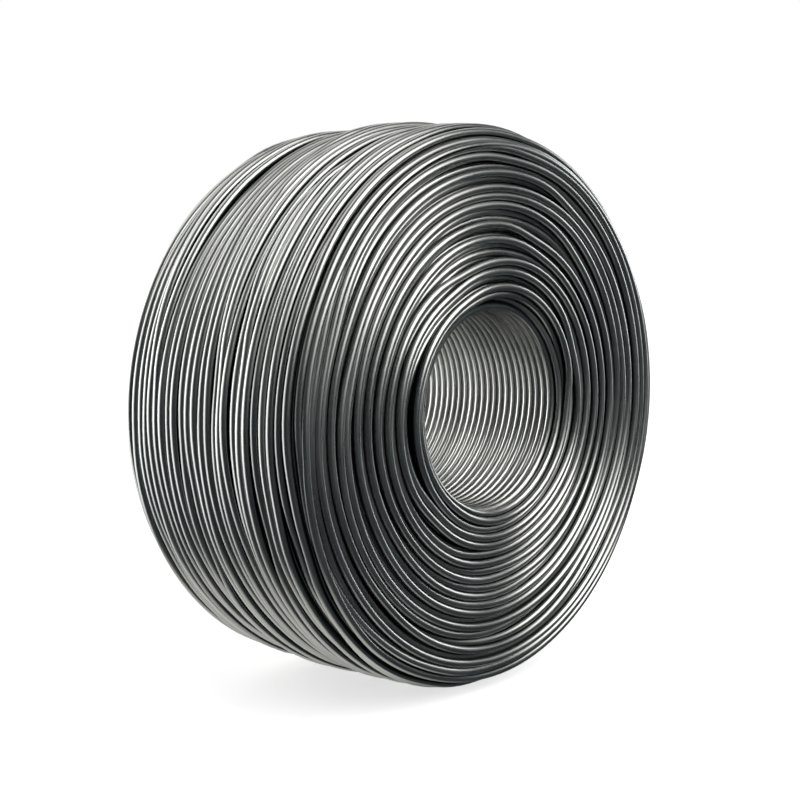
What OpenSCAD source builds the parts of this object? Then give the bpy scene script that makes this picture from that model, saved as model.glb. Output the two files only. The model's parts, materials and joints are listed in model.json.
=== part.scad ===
// Coil of steel wire, wound on a mandrel and taken off it: one length of wire, no spool and no ties.
// The coil stands on its rim. Its axis is Y and its origin is the middle of the bore.
// It is one turned solid: the turns that show lie round its section as round-topped rings,
// and the hidden turns and the air between them are solid.

/* [Wire] */
// Diameter of the wire
wire_d = 1.6; // [1.0:0.05:4.0]

/* [Coil] */
// Diameter over the outer turns
coil_od = 110; // [90:1:240]
// Diameter of the bore that the mandrel left
bore_d = 38; // [30:1:60]
// Width over the two ends
coil_w = 49; // [36:1:120]
// Rounding of the outer edges
edge_r = 6; // [3:0.5:12]
// Rounding of the bore's two mouths
mouth_r = 2; // [1.5:0.25:8]

/* [Turns] */
// Depth of the grooves between turns, as a share of the wire's radius
groove_share = 0.6; // [0.3:0.05:0.7]
// How much of a bore turn's crest the mandrel pressed flat
bore_flat = 0.08; // [0.04:0.01:0.15]

/* [Hidden] */

$fn = 96;
wire_r = wire_d / 2;
bore_r = bore_d / 2;
half_w = coil_w / 2;
groove_depth = groove_share * wire_r;

// The section is drawn with the coil's radius along X and its axis along Y. It runs from the crests
// of the bore's turns, which would stand bore_flat inside the bore's wall, to the outer crests.
section_in = bore_r - bore_flat;
section_out = coil_od / 2;

// Where the round corners of the section have their centres.
mouth_x = section_in + mouth_r;
mouth_y = half_w - mouth_r;
edge_x = section_out - edge_r;
edge_y = half_w - edge_r;

// How many wire diameters best fill a stretch of this length.
function turns_along(length) = max(1, round(length / wire_d));

// A block of the section between two radii, this far to each side of the middle.
module block(x_from, x_to, reach) {
    translate([x_from, -reach])
        square([x_to - x_from, 2 * reach]);
}

// The section without its turns: flat sides and round corners, this far below the turns' crests.
module core_section(depth) {
    middle_x = (mouth_x + edge_x) / 2;
    block(section_in + depth, middle_x, mouth_y);
    block(middle_x, section_out - depth, edge_y);
    block(mouth_x, edge_x, half_w - depth);
    for (side = [-1, 1]) {
        translate([mouth_x, side * mouth_y])
            circle(r = mouth_r - depth);
        translate([edge_x, side * edge_y])
            circle(r = edge_r - depth);
    }
}

// The section of one turn.
module turn(x, y) {
    translate([x, y])
        circle(r = wire_r);
}

// Turns side by side from one point to another, with one at each.
module row_of_turns(x_from, y_from, x_to, y_to) {
    count = turns_along(norm([x_to - x_from, y_to - y_from]));
    for (i = [0 : count])
        turn(x_from + (x_to - x_from) * i / count, y_from + (y_to - y_from) * i / count);
}

// Turns round a corner, between the two that the rows beside it end with.
module corner_of_turns(x, y, corner_r, from_deg) {
    radius = corner_r - wire_r;
    count = turns_along(radius * PI / 2);
    for (i = [1 : 1 : count - 1])
        turn(x + radius * cos(from_deg + 90 * i / count),
             y + radius * sin(from_deg + 90 * i / count));
}

// All the turns that show, round the whole section.
module shown_turns() {
    row_of_turns(section_in + wire_r, -mouth_y, section_in + wire_r, mouth_y);
    row_of_turns(section_out - wire_r, -edge_y, section_out - wire_r, edge_y);
    for (side = [-1, 1])
        row_of_turns(mouth_x, side * (half_w - wire_r), edge_x, side * (half_w - wire_r));
    corner_of_turns(edge_x, edge_y, edge_r, 0);
    corner_of_turns(mouth_x, mouth_y, mouth_r, 90);
    corner_of_turns(mouth_x, -mouth_y, mouth_r, 180);
    corner_of_turns(edge_x, -edge_y, edge_r, 270);
}

// The whole section: the core with the turns standing out of it, cut to the bore.
module coil_section() {
    difference() {
        union() {
            core_section(groove_depth);
            shown_turns();
        }
        block(0, bore_r, coil_w);
    }
}

// The wound length of wire.
module wire_coil() {
    color("#6f706e")
        rotate([90, 0, 0])
            rotate_extrude()
                coil_section();
}

wire_coil();
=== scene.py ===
"""The looks of a coil of steel wire: one length of wire, laid turn by turn as a winder lays it.

The wire's path is worked out in three steps. A traverse carries it to and fro across the coil. Each
stretch settles sideways into the grooves between the turns below and rests on top of them. At the end
the layers are spread or squeezed along the radius, so that the outer side is even and slightly crowned.
"""

import json
import math

import bpy
import numpy as np
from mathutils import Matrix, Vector


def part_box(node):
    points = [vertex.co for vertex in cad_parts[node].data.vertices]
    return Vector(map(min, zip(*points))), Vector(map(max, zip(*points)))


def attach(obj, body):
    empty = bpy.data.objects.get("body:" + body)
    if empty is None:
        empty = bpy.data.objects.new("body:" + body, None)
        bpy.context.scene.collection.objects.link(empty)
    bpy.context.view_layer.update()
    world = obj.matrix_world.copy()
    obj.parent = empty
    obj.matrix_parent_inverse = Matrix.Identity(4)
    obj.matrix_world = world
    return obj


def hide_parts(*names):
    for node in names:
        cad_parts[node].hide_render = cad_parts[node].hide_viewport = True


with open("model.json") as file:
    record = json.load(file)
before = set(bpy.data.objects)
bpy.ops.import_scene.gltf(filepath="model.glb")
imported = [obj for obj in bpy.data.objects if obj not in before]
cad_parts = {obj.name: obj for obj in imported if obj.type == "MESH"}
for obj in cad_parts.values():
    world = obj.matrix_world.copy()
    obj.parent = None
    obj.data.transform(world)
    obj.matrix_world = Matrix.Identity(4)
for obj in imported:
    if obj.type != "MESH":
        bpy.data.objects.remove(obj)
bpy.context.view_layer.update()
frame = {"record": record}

# ---- Sizes, in metres -------------------------------------------------------------------------

LOW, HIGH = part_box("wire_coil")
COIL_R = round(HIGH[2], 4)
HALF_W = round(HIGH[1], 4)
BORE_R = frame["record"]["mounts"][0]["dims"]["r_mm"] / 1000
WIRE_D = 0.0016  # as in the part's source
WIRE_R = WIRE_D / 2
NEAR_EDGE_R = 0.0040  # the coil's edge towards the camera
FAR_EDGE_R = 0.0060
MOUTH_R = 0.002  # rounding of the bore's mouths
TURN = 2 * math.pi


# ---- The winding ------------------------------------------------------------------------------

SEED = 4
STATIONS = 144  # places round the coil where the turns are laid on each other
MOST_TURNS = 760  # turns that there is space for
SPARE_TURNS = 8  # and how many more, for the stations aimed at ahead of the last one laid
TURNS_FELT = 110  # how many turns back a new turn looks for what it rests on
CHUNK = 48  # stations laid at a time
TOUCH = 0.94 * WIRE_D  # how close a turn is laid to those below, before the layers are spread
LAST_ANGLE = math.radians(-20)  # the wire's outer end is on the side away from the camera

# The traverse.
PITCH = 0.78 * WIRE_D  # how far it moves in a turn, before it hurries or slows
SPEED_NOISE = 0.2  # share of its speed that varies
LEVELLING = 0.5  # how strongly it hurries over high places and lingers on low ones
LEVELLED_FROM = 4  # turns after which it does so
SLOWEST = 0.6  # limits on its speed, as shares of its usual one
FASTEST = 1.6
CROWN = 0.0013  # how much higher the coil grows in the middle than at its edges
MEAN_SQUARE = 1 / 3  # of the places along the axis, as shares of half the coil's width
LEAST_SLACK = -1.2 * WIRE_D  # it turns back this far before the coil's end, or past it when negative
MOST_SLACK = -0.2 * WIRE_D
BUNCHING = 0.4 * WIRE_D  # how far neighbouring turns wander together
STRAYING = 0.1 * WIRE_D  # how far a turn wanders alone
BUNCH_KNOTS = 5  # bends of a bunch in one turn
BUNCH_TURNS = 5  # turns after which a bunch has changed
SPEED_TURNS = 1.7  # turns after which the speed has changed
STRAY_TURNS = 0.31  # turns after which a turn's own wandering has changed
NEATEST = 0.15  # the first turns' share of all this disorder
ROUGHENING = 1.6  # how fast the disorder grows to its full size with the coil's depth

# How a turn settles.
SLIP = 0.6 * WIRE_D  # how far it may slip sideways to find a groove
SLIPS_TRIED = 13  # from that far one way to that far the other
PULL = 0.12  # how much a longer slip has to gain to be taken
CROSSING = 0.032  # length that a turn takes to slip from one groove to the next
LONGEST_CROSSING = 30  # the same in stations, at most
SPAN = 0.003  # length over which the stiff wire bends
REACH = 0.018  # length of the longest bridge from a bump down to the turns below

# The end of the winding, and the spreading of its layers.
FULL_BELOW = 0.0018  # the coil is full when its last turns lie this far below its outer radius
TURNS_CUT = 1  # turns left off after the last traverse
SLICES = 14  # slices along the axis in which the outer side's radius is measured
SPREAD_BELOW = 0.0003  # how far below the even side the outer turns come to lie on average
STATIONS_BLENDED = 12  # stations and slices over which the measured radius is smoothed
SLICES_BLENDED = 2


def ease(t):
    """Goes smoothly from 0 to 1 as t does."""
    return t * t * (3 - 2 * t)


class PathNoise:
    """Smooth noise along the wire, between -1 and 1."""

    def __init__(self, rng, count, knot):
        self.knot = knot
        self.values = rng.uniform(-1, 1, int(count / knot) + 4)

    def at(self, i):
        x = np.asarray(i) / self.knot
        k = np.floor(x).astype(int)
        t = ease(x - k)
        return self.values[k] * (1 - t) + self.values[k + 1] * t


class BunchNoise:
    """Smooth noise round the coil that changes slowly from turn to turn, so that bunches stay parallel."""

    def __init__(self, rng, knots, turns_kept):
        self.knots, self.turns_kept = knots, turns_kept
        self.values = rng.uniform(-1, 1, (int(MOST_TURNS / turns_kept) + 4, knots))
        self.phase = rng.uniform(0, 1, len(self.values))

    def ring(self, row, i):
        a = (i % STATIONS) / STATIONS * self.knots + self.phase[row]
        k = np.floor(a).astype(int)
        t = ease(a - k)
        return self.values[row, k % self.knots] * (1 - t) + self.values[row, (k + 1) % self.knots] * t

    def at(self, i):
        x = i / STATIONS / self.turns_kept
        row = np.floor(x).astype(int)
        t = ease(x - row)
        return self.ring(row, i) * (1 - t) + self.ring(row + 1, i) * t


def edge_radius(y):
    """The coil's near edge, towards the camera, is sharper than its far one."""
    return np.where(y < 0, NEAR_EDGE_R, FAR_EDGE_R)


def half_width(r, side):
    """How far from the coil's middle a turn's centre may lie, at this radius on this side."""
    edge_r = edge_radius(side)
    edge_in, mouth_in = edge_r - WIRE_R, MOUTH_R - WIRE_R
    edge = np.clip(r - (COIL_R - edge_r), 0, edge_in)
    mouth = np.clip(BORE_R + MOUTH_R - r, 0, mouth_in)
    return np.minimum(HALF_W - edge_r + np.sqrt(edge_in**2 - edge**2),
                      HALF_W - MOUTH_R + np.sqrt(mouth_in**2 - mouth**2))


def even_side(y):
    """The radius at which the topmost turns of an even coil lie."""
    edge_r = edge_radius(y)
    edge_in = edge_r - WIRE_R
    past = np.clip(np.abs(y) - (HALF_W - edge_r), 0, edge_in)
    return COIL_R - edge_r - CROWN * (y / HALF_W) ** 2 + np.sqrt(edge_in**2 - past**2)


def blurred(values, w):
    """The values under a window with sloping sides. The row gets 2 * w shorter."""
    box = np.ones(w + 1) / (w + 1)
    return np.convolve(values, np.convolve(box, box), mode="valid")


def widest(values, w):
    """The largest value within w places of each one. The row gets 2 * w shorter."""
    return np.lib.stride_tricks.sliding_window_view(values, 2 * w + 1).max(axis=1)


def taut(r, spacing):
    """A tight wire over these radii: it goes straight from bump to bump, with a gap below it."""
    s = spacing * np.arange(len(r))
    bow = s * s / (2 * r.mean())
    height = r - bow
    hull = []
    for k, h in enumerate(height):
        while len(hull) > 1:
            a, b = hull[-2], hull[-1]
            if (height[b] - height[a]) * (k - a) > (h - height[a]) * (b - a):
                break
            hull.pop()
        hull.append(k)
    return np.interp(np.arange(len(r)), hull, height[hull]) + bow


class Winding:
    """The wire's path as one row of stations, with each one's place along the axis and its radius."""

    def __init__(self, seed):
        rng = np.random.default_rng(seed)
        count = (MOST_TURNS + SPARE_TURNS) * STATIONS
        self.rng = rng
        self.y, self.r = np.zeros(count), np.full(count, -1.0)
        # For every station: where the traverse is, the slip it wants there, how far from the coil's middle
        # it may lie, where it comes to lie, and the radius at which it would rest there.
        self.target, self.slip, self.limit, self.place, self.bed = np.zeros((5, count))
        self.speed_noise = PathNoise(rng, count, SPEED_TURNS * STATIONS)
        self.own_noise = PathNoise(rng, count, STRAY_TURNS * STATIONS)
        self.bunch_noise = BunchNoise(rng, BUNCH_KNOTS, BUNCH_TURNS)
        self.here = half_width(BORE_R + WIRE_R, 1)
        self.way, self.slack, self.turned_at = -1, 0.0, 0
        self.aimed, self.placed, self.laid = 0, 0, 0
        self.radius = BORE_R + WIRE_R

    def tops(self, i, y):
        """The radius at which the wire would rest at stations i, at these places along the axis."""
        turn = self.laid // STATIONS
        rows = slice(max(0, turn - TURNS_FELT), turn + 2)
        column = i % STATIONS
        under_y = self.y.reshape(-1, STATIONS)[rows, column]
        under_r = self.r.reshape(-1, STATIONS)[rows, column]
        rise = TOUCH**2 - (y[None] - under_y) ** 2
        top = np.where((rise > 0) & (under_r > 0), under_r + np.sqrt(np.maximum(rise, 0)), 0)
        return np.maximum(top.max(axis=0), BORE_R + WIRE_R)

    def aim(self, end, rough):
        """The traverse, which slows where the coil is low, and turns back at the ends."""
        i = np.arange(self.aimed, end)
        hurry = 1.0
        if self.aimed > LEVELLED_FROM * STATIONS:
            rise = self.tops(i, np.full(len(i), self.here)).mean() - self.radius
            rise += rough * CROWN * ((self.here / HALF_W) ** 2 - MEAN_SQUARE)
            hurry = min(max(1 + LEVELLING * rise / WIRE_D, SLOWEST), FASTEST)
        speed = PITCH * hurry * (1 + SPEED_NOISE * rough * self.speed_noise.at(i)) / STATIONS
        for k, step in zip(i, speed):
            self.here += self.way * step
            if self.way * self.here > half_width(self.radius, self.way) - self.slack:
                self.way, self.turned_at = -self.way, k
                self.slack = self.rng.uniform(LEAST_SLACK, MOST_SLACK) * rough
            self.target[k] = self.here
        self.target[i] += rough * (BUNCHING * self.bunch_noise.at(i) + STRAYING * self.own_noise.at(i))
        self.aimed = end
        return i

    def lay_chunk(self):
        """Aims, slips and lays the next stations, a little further ahead in each of the earlier steps."""
        spacing = TURN * self.radius / STATIONS
        cross = min(max(round(CROSSING / spacing), 2), LONGEST_CROSSING)
        span = max(round(SPAN / spacing), 1)
        reach = round(REACH / spacing)
        depth = (self.radius - BORE_R) / (COIL_R - BORE_R)
        rough = NEATEST + (1 - NEATEST) * min(1, ROUGHENING * depth)

        i = self.aim(self.laid + CHUNK + cross + 3 * span + reach, rough)
        limit = half_width(self.radius, self.target[i])
        self.limit[i] = half_width(self.tops(i, np.clip(self.target[i], -limit, limit)), self.target[i])
        slips = np.linspace(-SLIP, SLIP, SLIPS_TRIED)
        costs = [self.tops(i, np.clip(self.target[i] + s, -limit, limit)) + PULL * s * s / WIRE_D
                 for s in slips]
        self.slip[i] = slips[np.argmin(costs, axis=0)]

        i = np.arange(self.placed, self.aimed - cross)
        near = np.clip(np.arange(i[0] - cross, i[-1] + cross + 1), 0, self.aimed - 1)
        wanted = np.clip(self.target[near] + self.slip[near], -self.limit[near], self.limit[near])
        self.place[i] = blurred(wanted, cross)
        self.bed[i] = self.tops(i, self.place[i])
        self.placed = i[-1] + 1

        i = np.arange(self.laid, self.laid + CHUNK)
        margin = 2 * span + reach
        near = np.clip(np.arange(i[0] - margin, i[-1] + margin + 1), 0, self.placed - 1)
        bridged = taut(widest(self.bed[near], span), spacing)
        self.r[i] = blurred(bridged[reach:len(bridged) - reach], span)
        self.y[i] = self.place[i]
        self.laid = i[-1] + 1
        self.radius = self.r[max(0, self.laid - 2 * STATIONS):self.laid].mean()

    def outer_side(self, y, r):
        """The radius of the coil's outer side at each station round it, in SLICES slices along the axis."""
        slice_of = np.clip((y / HALF_W + 1) / 2 * SLICES, 0, SLICES - 1).astype(int)
        side = np.zeros((STATIONS, SLICES))
        np.maximum.at(side, (np.arange(len(y)) % STATIONS, slice_of), r)
        side = np.pad(side, ((STATIONS_BLENDED, STATIONS_BLENDED), (0, 0)), mode="wrap")
        side = np.pad(side, ((0, 0), (SLICES_BLENDED, SLICES_BLENDED)), mode="edge")
        side = np.apply_along_axis(blurred, 0, side, STATIONS_BLENDED)
        return np.apply_along_axis(blurred, 1, side, SLICES_BLENDED)

    def wound(self):
        """Lays turns until a traverse ends with the coil full, then evens it out. Returns y and r."""
        while self.radius < COIL_R - FULL_BELOW or self.turned_at > self.laid:
            self.lay_chunk()
        end = self.turned_at - TURNS_CUT * STATIONS
        y, r = self.y[:end], self.r[:end]
        full = even_side(HALF_W * ((np.arange(SLICES) + 0.5) / SLICES * 2 - 1))
        spread = (full - SPREAD_BELOW - BORE_R) / (self.outer_side(y, r) - BORE_R)
        # The spread changes evenly between the middles of two slices. The place is kept just short of the
        # last slice's middle, so that there is always a next one. A turn that would still stand out is
        # moved in to the even side, and may sink into its neighbours there.
        at = np.clip((y / HALF_W + 1) / 2 * SLICES - 0.5, 0, SLICES - 1.001)
        k, t = at.astype(int), at % 1
        station = np.arange(end) % STATIONS
        r = BORE_R + (r - BORE_R) * (spread[station, k] * (1 - t) + spread[station, k + 1] * t)
        return y, np.minimum(r, even_side(y))


# ---- The wire's mesh --------------------------------------------------------------------------

SIDES = 10  # round the wire
SHOWN_STEP = 0.0024  # length of a mesh segment where the wire shows
HIDDEN_STEP = 0.0065
OUTER_SKIN = 3.4 * WIRE_D  # how deep the wire counts as showing on the outer side, the ends and the bore
END_SKIN = 2.4 * WIRE_D
BORE_SKIN = 1.8 * WIRE_D
HIDDEN_SHARE = 0.3  # how much room on the map a hidden length gets, next to one that shows
MOST_FACES = 95000  # in one piece of the mesh
MAP_LEFT = 0.004  # where the strips start on the map, and how long they are
MAP_LENGTH = 0.985
STRIP_BOTTOM = 0.04  # where the wire starts in its strip, and how much of the strip it fills
STRIP_FILLED = 0.92
CAP_PLACE = 0.001  # place on the map of the wire's cut ends
SKIN = 0.0015  # depth below the coil's surface over which one side's direction gives way to another's


def wire_path():
    """Points, radial directions and lengths along the wire, and whether each part shows."""
    y, r = Winding(SEED).wound()
    outside = r > COIL_R - OUTER_SKIN
    on_end = np.abs(y) > HALF_W - END_SKIN
    in_bore = r < BORE_R + BORE_SKIN
    shown = outside | on_end | in_bore

    keep, i = [], 0
    while i < len(r):
        keep.append(i)
        wanted = SHOWN_STEP if shown[i] else HIDDEN_STEP
        i += max(1, round(wanted / (TURN * r[i] / STATIONS)))
    keep = np.array(keep)
    angle = LAST_ANGLE + TURN * (keep - len(r)) / STATIONS
    y, r = y[keep], r[keep]
    points = np.stack([r * np.cos(angle), y, r * np.sin(angle)], axis=1)
    outward = np.stack([np.cos(angle), np.zeros(len(r)), np.sin(angle)], axis=1)
    along = np.concatenate([[0], np.cumsum(np.linalg.norm(np.diff(points, axis=0), axis=1))])
    return points, outward, along, shown[keep]


def unit(v):
    return v / np.linalg.norm(v, axis=1, keepdims=True)


def tube(name, points, outward, along, shown, material):
    """A closed tube of wire round these points, with a map that folds it into strips."""
    n = len(points)
    y, r = points[:, 1], np.hypot(points[:, 0], points[:, 2])
    tangent = unit(np.gradient(points, axis=0))
    outward = unit(outward - tangent * np.sum(outward * tangent, axis=1, keepdims=True))
    sideways = np.cross(tangent, outward)
    phi = TURN * np.arange(SIDES) / SIDES
    across, over = WIRE_R * np.cos(phi), WIRE_R * np.sin(phi)
    ring = outward[:, None] * across[None, :, None] + sideways[:, None] * over[None, :, None]
    verts = (points[:, None] + ring).reshape(-1, 3)

    segment = np.arange(n - 1)[:, None] * SIDES
    j = np.arange(SIDES)[None]
    quads = np.stack([segment + j, segment + (j + 1) % SIDES, segment + SIDES + (j + 1) % SIDES,
                      segment + SIDES + j], axis=-1).reshape(-1, 4)
    first_cap = list(range(SIDES))[::-1]
    last_cap = list(range((n - 1) * SIDES, n * SIDES))
    mesh = bpy.data.meshes.new(name)
    mesh.from_pydata(verts.tolist(), [], quads.tolist() + [first_cap, last_cap])

    # How much the wire's surface faces out of the coil. The material paints shade, near black, where it
    # faces in between the turns.
    depth = np.exp(-np.stack([COIL_R - r, HALF_W - np.abs(y), r - BORE_R]) / SKIN)
    out_of_coil = outward * (depth[0] - depth[2])[:, None] + [[0, 1, 0]] * (np.sign(y) * depth[1])[:, None]
    open_side = np.sum(ring / WIRE_R * unit(out_of_coil)[:, None], axis=2)
    opened = mesh.attributes.new("open", "FLOAT", "POINT")
    opened.data.foreach_set("value", open_side.ravel())

    straight = np.stack([np.repeat(along, SIDES), np.tile(across, n), np.tile(over, n)], axis=1)
    laid_out = mesh.attributes.new("straight", "FLOAT_VECTOR", "POINT")
    laid_out.data.foreach_set("vector", straight.ravel())

    weight = np.diff(along) * np.where(shown[:-1], 1, HIDDEN_SHARE)
    total = np.concatenate([[0], np.cumsum(weight)])
    rows = max(1, round(math.sqrt(total[-1] / (math.pi * WIRE_D))))
    strip = total[-1] / rows
    row = np.minimum(np.floor((total[:-1] + total[1:]) / 2 / strip), rows - 1)
    u0, u1 = (MAP_LEFT + MAP_LENGTH * (t - row * strip) / strip for t in (total[:-1], total[1:]))
    v0, v1 = ((row[:, None] + STRIP_BOTTOM + STRIP_FILLED * (j + k) / SIDES) / rows for k in (0, 1))
    u0, u1 = (np.repeat(u[:, None], SIDES, axis=1) for u in (u0, u1))
    corners = np.stack([u0, v0, u0, v1, u1, v1, u1, v0], axis=-1).reshape(-1, 2)
    cap_corners = np.full((2 * SIDES, 2), CAP_PLACE)
    uv = mesh.uv_layers.new(name="OFBake")
    uv.data.foreach_set("uv", np.concatenate([corners, cap_corners]).ravel())

    mesh.shade_smooth()
    mesh.materials.append(material)
    piece = bpy.data.objects.new(name, mesh)
    bpy.context.collection.objects.link(piece)
    return piece


def wind_wire(material):
    """The whole wire, in pieces that keep the mesh of each one small."""
    points, outward, along, shown = wire_path()
    pieces = math.ceil(len(points) * SIDES / MOST_FACES)
    cuts = np.linspace(0, len(points) - 1, pieces + 1).astype(int)
    for k, (start, stop) in enumerate(zip(cuts[:-1], cuts[1:])):
        part = slice(start, stop + 1)
        piece = tube(f"wire_length_{k + 1}", points[part], outward[part], along[part], shown[part],
                     material)
        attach(piece, "root")
        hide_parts("wire_coil")
    print(f"wire: {along[-1]:.1f} m, {len(points) * SIDES} faces in {pieces} pieces")


# ---- Materials --------------------------------------------------------------------------------

DARK_STEEL = (0.44, 0.44, 0.43)
BRIGHT_STEEL = (0.70, 0.70, 0.68)
SMOOTHEST = 0.24
ROUGHEST = 0.36
GROOVE_PAINTED_SHADE = (0.05, 0.065, 0.07)  # painted shade in the grooves between the turns: the share of the steel's tone left there
NO_PAINTED_SHADE = (1.0, 1.0, 1.0)
PAINTED_SHADE_FULL_BELOW = 0.02  # how much the wire's surface faces out of the coil where the painted shade is full, and gone
PAINTED_SHADE_GONE_ABOVE = 0.48


def new_material(name):
    material = bpy.data.materials.new(name)
    material.use_nodes = True
    return material, material.node_tree.nodes, material.node_tree.links


def steel_material():
    """Drawn steel wire: streaks along it, slow changes of tone, and painted shade in the coil's grooves,
    where the wire faces into the coil.
    """
    material, nodes, links = new_material("drawn_steel")
    shader = nodes["Principled BSDF"]
    shader.inputs["Metallic"].default_value = 1.0

    straight = nodes.new("ShaderNodeAttribute")
    straight.attribute_name = "straight"

    def noise(scale, detail, stretch):
        mapping = nodes.new("ShaderNodeMapping")
        mapping.inputs["Scale"].default_value = stretch
        links.new(straight.outputs["Vector"], mapping.inputs["Vector"])
        node = nodes.new("ShaderNodeTexNoise")
        node.inputs["Scale"].default_value = scale
        node.inputs["Detail"].default_value = detail
        links.new(mapping.outputs["Vector"], node.inputs["Vector"])
        return node.outputs["Fac"]

    def ramp(value, stops):
        node = nodes.new("ShaderNodeValToRGB")
        node.color_ramp.elements[0].position = stops[0][0]
        node.color_ramp.elements[0].color = (*stops[0][1], 1)
        node.color_ramp.elements[1].position = stops[1][0]
        node.color_ramp.elements[1].color = (*stops[1][1], 1)
        links.new(value, node.inputs["Fac"])
        return node.outputs["Color"]

    def spread(value, low, high):
        node = nodes.new("ShaderNodeMapRange")
        node.inputs["From Min"].default_value = 0.3
        node.inputs["From Max"].default_value = 0.7
        node.inputs["To Min"].default_value = low
        node.inputs["To Max"].default_value = high
        links.new(value, node.inputs["Value"])
        return node.outputs["Result"]

    tone = ramp(noise(12, 4, (1, 8, 8)), [(0.35, DARK_STEEL), (0.65, BRIGHT_STEEL)])
    # Painted shade: the tone is multiplied towards near black where the wire faces into the coil, in the
    # grooves between the turns.
    opened = nodes.new("ShaderNodeAttribute")
    opened.attribute_name = "open"
    painted_shade = ramp(opened.outputs["Fac"], [(PAINTED_SHADE_FULL_BELOW, GROOVE_PAINTED_SHADE), (PAINTED_SHADE_GONE_ABOVE, NO_PAINTED_SHADE)])
    shaded_tone = nodes.new("ShaderNodeMix")
    shaded_tone.data_type = "RGBA"
    shaded_tone.blend_type = "MULTIPLY"
    shaded_tone.inputs["Factor"].default_value = 1.0
    links.new(tone, shaded_tone.inputs["A"])
    links.new(painted_shade, shaded_tone.inputs["B"])
    links.new(shaded_tone.outputs["Result"], shader.inputs["Base Color"])
    links.new(spread(noise(60, 3, (1, 20, 20)), SMOOTHEST, ROUGHEST), shader.inputs["Roughness"])

    bump = nodes.new("ShaderNodeBump")
    bump.inputs["Strength"].default_value = 0.15
    bump.inputs["Distance"].default_value = 0.00005
    links.new(noise(120, 3, (1, 30, 30)), bump.inputs["Height"])
    links.new(bump.outputs["Normal"], shader.inputs["Normal"])
    return material


def floor_material():
    """A pale matt floor. It glows a little, so that it shows nearly as white as the paper behind it."""
    material, nodes, _ = new_material("pale_floor")
    shader = nodes["Principled BSDF"]
    shader.inputs["Base Color"].default_value = (0.8, 0.8, 0.8, 1)
    shader.inputs["Roughness"].default_value = 0.9
    shader.inputs["Emission Color"].default_value = (1, 1, 1, 1)
    shader.inputs["Emission Strength"].default_value = 0.62
    return material


# ---- Stage, lights and camera -----------------------------------------------------------------

CAMERA_AZIMUTH = math.radians(-46.7)
CAMERA_ELEVATION = math.radians(6.6)
CAMERA_DISTANCE = 0.298
FOCAL_PIXELS = 1479
FRAME_PIXELS = 800
SENSOR = 36  # in millimetres
AIMED_LEFT = 0.0011  # how far left of the coil's middle the camera points
FLOOR_HALF = 3.0


def lay_floor():
    half = FLOOR_HALF
    mesh = bpy.data.meshes.new("floor")
    corners = [(-half, -half, LOW[2]), (half, -half, LOW[2]), (half, half, LOW[2]), (-half, half, LOW[2])]
    mesh.from_pydata(corners, [], [(0, 1, 2, 3)])
    mesh.materials.append(floor_material())
    floor = bpy.data.objects.new("floor", mesh)
    bpy.context.collection.objects.link(floor)
    floor.visible_glossy = False


def direction(azimuth, elevation):
    """The way from the coil to something at this azimuth and elevation, as the camera's are counted."""
    level = math.cos(elevation)
    return Vector((math.sin(azimuth) * level, -math.cos(azimuth) * level, math.sin(elevation)))


# Each softbox: azimuth, elevation and radius in degrees, brightness, and colour.
SOFTBOXES = {
    "key": (10, 40, 28, 3.0, (1.0, 1.0, 0.99)),
    "right": (85, 10, 15, 3.0, (0.96, 0.99, 1.0)),
    "back_wall": (180, 10, 60, 1.0, (1.0, 1.0, 0.98)),
    "back_left": (-170, 10, 20, 2.5, (1.0, 1.0, 0.98)),
    "low_left": (-140, -10, 25, 1.0, (0.94, 0.98, 1.0)),
    "floor_bounce": (180, -80, 30, 0.6, (1.0, 0.99, 0.94)),
}
SOFT_EDGE = 0.35  # share of a softbox's radius over which its edge fades
DARK_ROOM = (0.030, 0.036, 0.040)


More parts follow.
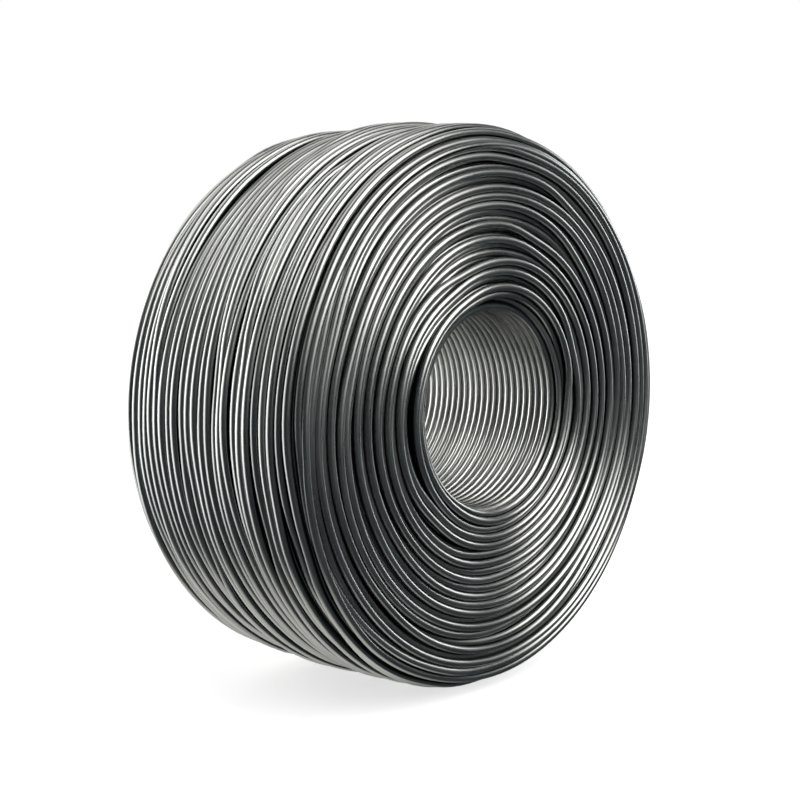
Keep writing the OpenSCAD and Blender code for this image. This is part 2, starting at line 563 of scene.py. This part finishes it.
def light_studio():
    """A dark room with large soft lights in it, far off, and a white paper background behind the coil."""
    world = bpy.data.worlds.new("studio")
    bpy.context.scene.world = world
    world.use_nodes = True
    nodes, links = world.node_tree.nodes, world.node_tree.links
    way = nodes.new("ShaderNodeTexCoord").outputs["Generated"]

    def softbox(azimuth, elevation, radius, brightness, colour):
        towards = nodes.new("ShaderNodeVectorMath")
        towards.operation = "DOT_PRODUCT"
        links.new(way, towards.inputs[0])
        towards.inputs[1].default_value = direction(math.radians(azimuth), math.radians(elevation))
        angle = nodes.new("ShaderNodeMath")
        angle.operation = "ARCCOSINE"
        links.new(towards.outputs["Value"], angle.inputs[0])
        fade = nodes.new("ShaderNodeMapRange")
        fade.interpolation_type = "SMOOTHSTEP"
        fade.inputs["From Min"].default_value = math.radians(radius * (1 + SOFT_EDGE))
        fade.inputs["From Max"].default_value = math.radians(radius * (1 - SOFT_EDGE))
        fade.inputs["To Max"].default_value = brightness
        links.new(angle.outputs["Value"], fade.inputs["Value"])
        glow = nodes.new("ShaderNodeVectorMath")
        glow.operation = "SCALE"
        glow.inputs[0].default_value = colour
        links.new(fade.outputs["Result"], glow.inputs["Scale"])
        return glow.outputs["Vector"]

    light = None
    for box in SOFTBOXES.values():
        total = nodes.new("ShaderNodeVectorMath")
        links.new(softbox(*box), total.inputs[0])
        if light is None:
            total.inputs[1].default_value = DARK_ROOM
        else:
            links.new(light, total.inputs[1])
        light = total.outputs["Vector"]
    room = nodes["Background"]
    links.new(light, room.inputs["Color"])
    paper = nodes.new("ShaderNodeBackground")
    paper.inputs["Color"].default_value = (1, 1, 1, 1)
    path = nodes.new("ShaderNodeLightPath")
    mix = nodes.new("ShaderNodeMixShader")
    links.new(path.outputs["Is Camera Ray"], mix.inputs["Fac"])
    links.new(room.outputs["Background"], mix.inputs[1])
    links.new(paper.outputs["Background"], mix.inputs[2])
    links.new(mix.outputs["Shader"], nodes["World Output"].inputs["Surface"])


def set_camera():
    data = bpy.data.cameras.new("camera")
    data.sensor_width = SENSOR
    data.lens = SENSOR * FOCAL_PIXELS / FRAME_PIXELS
    data.clip_start = 0.01
    camera = bpy.data.objects.new("camera", data)
    way = direction(CAMERA_AZIMUTH, CAMERA_ELEVATION)
    turn = way.to_track_quat("Z", "Y")
    right = turn @ Vector((1, 0, 0))
    aim = -right * AIMED_LEFT
    camera.location = aim + way * CAMERA_DISTANCE
    camera.rotation_euler = turn.to_euler()
    bpy.context.collection.objects.link(camera)
    bpy.context.scene.camera = camera
    bpy.context.scene.view_settings.view_transform = "Standard"


set_camera()
lay_floor()
light_studio()
wind_wire(steel_material())
